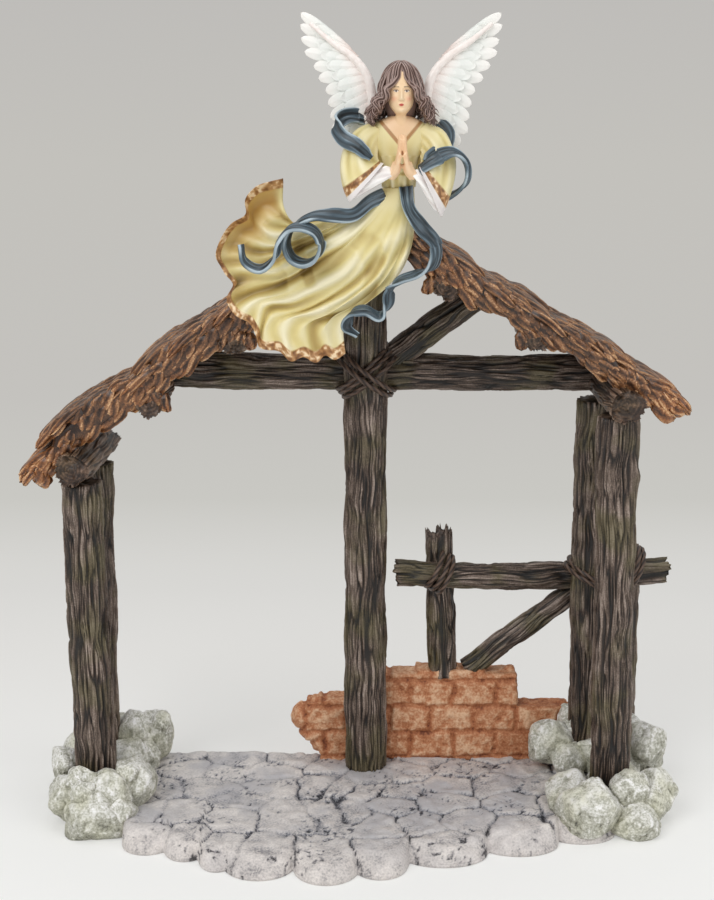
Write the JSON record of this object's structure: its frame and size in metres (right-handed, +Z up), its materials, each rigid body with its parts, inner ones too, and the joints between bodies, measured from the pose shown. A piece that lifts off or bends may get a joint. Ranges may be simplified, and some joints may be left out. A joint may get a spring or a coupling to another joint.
{
  "type": "nativity creche",
  "caption": "Open log stable with a thatched gable roof on a paved base, with boulders, a ruined brick wall, a fence and a praying winged figure in a flowing gown at the ridge.",
  "frame": {"origin": "on the surface that the base stands on, under the middle of the paving", "axes": "+X to the viewer's right along the front, +Y to the back of the stable, +Z up"},
  "size_m": [0.4535, 0.1936, 0.5408],
  "materials": {
    "paving": "matt painted cast resin, warm grey with a blue-grey wash",
    "boulder": "matt painted cast resin, grey-green with pale dry-brushed edges",
    "brick": "matt painted cast resin, terracotta",
    "bark": "satin painted cast resin, dark brown bark with lighter ridges",
    "thatch": "satin painted cast resin, red-brown straw with orange edges",
    "rope": "satin painted cast resin, dark brown",
    "gown": "satin painted cast resin, pale yellow with bronze-gold hems",
    "linen": "satin painted cast resin, white",
    "skin": "satin painted cast resin, light skin tone",
    "hair": "satin painted cast resin, brown with lighter strands",
    "feather": "pearly painted cast resin, white",
    "sash": "satin painted cast resin, blue-grey with pale edges"
  },
  "bodies": {
    "root": {"paved_base": "paving", "left_front_rocks": "boulder", "left_back_rocks": "boulder", "right_front_rocks": "boulder", "right_back_rocks": "boulder", "brick_wall": "brick", "left_front_post": "bark", "left_back_post": "bark", "right_front_post": "bark", "right_back_post": "bark", "center_post": "bark", "left_wall_plate": "bark", "right_wall_plate": "bark", "tie_beam": "bark", "gable_brace": "bark", "left_lower_purlin": "bark", "left_upper_purlin": "bark", "right_upper_purlin": "bark", "right_lower_purlin": "bark", "left_thatch": "thatch", "right_thatch": "thatch", "fence_post": "bark", "fence_end_post": "bark", "fence_rail": "bark", "fence_brace": "bark", "center_lashing_under": "rope", "center_lashing_over": "rope", "fence_lashing": "rope", "post_lashing": "rope", "end_lashing": "rope", "angel_gown": "gown", "angel_bodice": "gown", "angel_left_sleeve": "gown", "angel_right_sleeve": "gown", "angel_left_cuff": "linen", "angel_right_cuff": "linen", "angel_hands": "skin", "angel_head": "skin", "angel_hair": "hair", "angel_left_wing": "feather", "angel_right_wing": "feather", "sash_left_tail": "sash", "sash_right_tail": "sash", "sash_left_shoulder": "sash", "sash_right_shoulder": "sash", "sash_right_hoop": "sash"}
  },
  "joints": []
}
